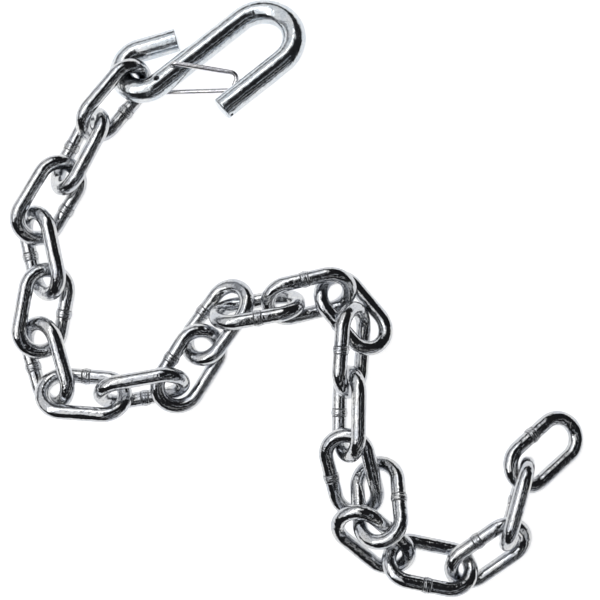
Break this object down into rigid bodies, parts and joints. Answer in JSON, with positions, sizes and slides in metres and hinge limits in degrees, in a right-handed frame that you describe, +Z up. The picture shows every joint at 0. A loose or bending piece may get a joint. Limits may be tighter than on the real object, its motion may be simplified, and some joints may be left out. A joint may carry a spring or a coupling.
{
  "type": "safety chain hook",
  "caption": "Trailer safety chain: a bent round-bar S-hook with a spring wire latch, holding a length of butt-welded oval links laid in loose curves.",
  "frame": {"origin": "on the floor under the middle of the object's box", "axes": "+Z up from the floor the chain lies on, +X to the right and +Y to the back in the view from above with the hook at the back left"},
  "size_m": [0.2676, 0.2776, 0.0293],
  "materials": {
    "hook_zinc": "bright clear zinc plating on bent round bar",
    "link_zinc": "bright clear zinc plating on welded wire",
    "spring_wire": "bright zinc plated spring wire"
  },
  "bodies": {
    "hook": {"hook": "hook_zinc"},
    "latch": {"latch": "spring_wire"},
    "link_01": {"link_01": "link_zinc"},
    "link_02": {"link_02": "link_zinc"},
    "link_03": {"link_03": "link_zinc"},
    "link_04": {"link_04": "link_zinc"},
    "link_05": {"link_05": "link_zinc"},
    "link_06": {"link_06": "link_zinc"},
    "link_07": {"link_07": "link_zinc"},
    "link_08": {"link_08": "link_zinc"},
    "link_09": {"link_09": "link_zinc"},
    "link_10": {"link_10": "link_zinc"},
    "link_11": {"link_11": "link_zinc"},
    "link_12": {"link_12": "link_zinc"},
    "link_13": {"link_13": "link_zinc"},
    "link_14": {"link_14": "link_zinc"},
    "link_15": {"link_15": "link_zinc"},
    "link_16": {"link_16": "link_zinc"},
    "link_17": {"link_17": "link_zinc"},
    "link_18": {"link_18": "link_zinc"},
    "link_19": {"link_19": "link_zinc"},
    "link_20": {"link_20": "link_zinc"},
    "link_21": {"link_21": "link_zinc"},
    "link_22": {"link_22": "link_zinc"}
  },
  "joints": [
    {"name": "latch_open", "type": "hinge", "parent": "hook", "child": "latch", "pos_m": [-0.06106, 0.10171, 0.01331], "axis": [-0.1511, 0.3609, 0.9203], "range_deg": [0, 25], "stiffness_Nm_per_rad": 0.6, "deforming": ["latch"]},
    {"name": "link_01_swing", "type": "hinge", "parent": "hook", "child": "link_01", "pos_m": [-0.08018, 0.09831, 0.0115], "axis": [-0.6329, 0.5043, -0.5874], "range_deg": [-45, 45]},
    {"name": "link_02_swing", "type": "hinge", "parent": "link_01", "child": "link_02", "pos_m": [-0.09832, 0.07632, 0.01267], "axis": [-0.7233, 0.3846, 0.5736], "range_deg": [-45, 45]},
    {"name": "link_03_swing", "type": "hinge", "parent": "link_02", "child": "link_03", "pos_m": [-0.11104, 0.05078, 0.01206], "axis": [0.4286, -0.2575, 0.866], "range_deg": [-45, 45]},
    {"name": "link_04_swing", "type": "hinge", "parent": "link_03", "child": "link_04", "pos_m": [-0.12455, 0.02773, 0.01034], "axis": [-0.8435, 0.2293, 0.4856], "range_deg": [-18, 45]},
    {"name": "link_05_swing", "type": "hinge", "parent": "link_04", "child": "link_05", "pos_m": [-0.11577, 0.00155, 0.01119], "axis": [-0.4006, 0.0706, -0.9135], "range_deg": [-42, 45]},
    {"name": "link_06_swing", "type": "hinge", "parent": "link_05", "child": "link_06", "pos_m": [-0.12258, -0.02536, 0.00998], "axis": [0.5918, 0.1697, -0.788], "range_deg": [-14, 20]},
    {"name": "link_07_swing", "type": "hinge", "parent": "link_06", "child": "link_07", "pos_m": [-0.11224, -0.04939, 0.01005], "axis": [0.039, 0.5578, 0.829], "range_deg": [-45, 4]},
    {"name": "link_08_swing", "type": "hinge", "parent": "link_07", "child": "link_08", "pos_m": [-0.08097, -0.04675, 0.01211], "axis": [0.1504, -0.8529, 0.5], "range_deg": [-45, 45]},
    {"name": "link_09_swing", "type": "hinge", "parent": "link_08", "child": "link_09", "pos_m": [-0.05412, -0.03916, 0.01252], "axis": [-0.29, 0.1812, -0.9397], "range_deg": [-22, 18]},
    {"name": "link_10_swing", "type": "hinge", "parent": "link_09", "child": "link_10", "pos_m": [-0.04115, -0.01707, 0.01008], "axis": [0.464, -0.3371, -0.8192], "range_deg": [-45, 45]},
    {"name": "link_11_swing", "type": "hinge", "parent": "link_10", "child": "link_11", "pos_m": [-0.02708, 0.00383, 0.00963], "axis": [-0.6627, 0.4815, -0.5736], "range_deg": [0, 45]},
    {"name": "link_12_swing", "type": "hinge", "parent": "link_11", "child": "link_12", "pos_m": [-0.00054, -0.00242, 0.01379], "axis": [0.1354, -0.5864, 0.7986], "range_deg": [-45, 45]},
    {"name": "link_13_swing", "type": "hinge", "parent": "link_12", "child": "link_13", "pos_m": [0.02319, 0.00472, 0.01196], "axis": [0.1797, -0.7782, -0.6018], "range_deg": [-16, 0]},
    {"name": "link_14_swing", "type": "hinge", "parent": "link_13", "child": "link_14", "pos_m": [0.03219, -0.02384, 0.01157], "axis": [-0.9289, 0.0264, 0.3693], "range_deg": [-45, 0]},
    {"name": "link_15_swing", "type": "hinge", "parent": "link_14", "child": "link_15", "pos_m": [0.02303, -0.04391, 0.01306], "axis": [0.9062, -0.0158, -0.4226], "range_deg": [-28, 45]},
    {"name": "link_16_swing", "type": "hinge", "parent": "link_15", "child": "link_16", "pos_m": [0.02277, -0.07355, 0.01292], "axis": [0.1859, 0.2543, -0.9491], "range_deg": [-12, 45]},
    {"name": "link_17_swing", "type": "hinge", "parent": "link_16", "child": "link_17", "pos_m": [0.03385, -0.08038, 0.01113], "axis": [0.2366, -0.9491, -0.2079], "range_deg": [-45, 0]},
    {"name": "link_18_swing", "type": "hinge", "parent": "link_17", "child": "link_18", "pos_m": [0.028, -0.10273, 0.01425], "axis": [-0.0453, 0.8648, -0.5], "range_deg": [0, 45]},
    {"name": "link_19_swing", "type": "hinge", "parent": "link_18", "child": "link_19", "pos_m": [0.04843, -0.12494, 0.00662], "axis": [0.0657, 0.4966, 0.8655], "range_deg": [-4, 45]},
    {"name": "link_20_swing", "type": "hinge", "parent": "link_19", "child": "link_20", "pos_m": [0.07978, -0.12863, 0.01083], "axis": [-0.2207, 0.4577, -0.8613], "range_deg": [-45, 14]},
    {"name": "link_21_swing", "type": "hinge", "parent": "link_20", "child": "link_21", "pos_m": [0.10358, -0.10818, 0.01185], "axis": [0.9606, -0.2574, 0.1045], "range_deg": [-14, 45]},
    {"name": "link_22_swing", "type": "hinge", "parent": "link_21", "child": "link_22", "pos_m": [0.10581, -0.07708, 0.0138], "axis": [0.333, 0.0463, 0.9418], "range_deg": [-45, 45]}
  ]
}
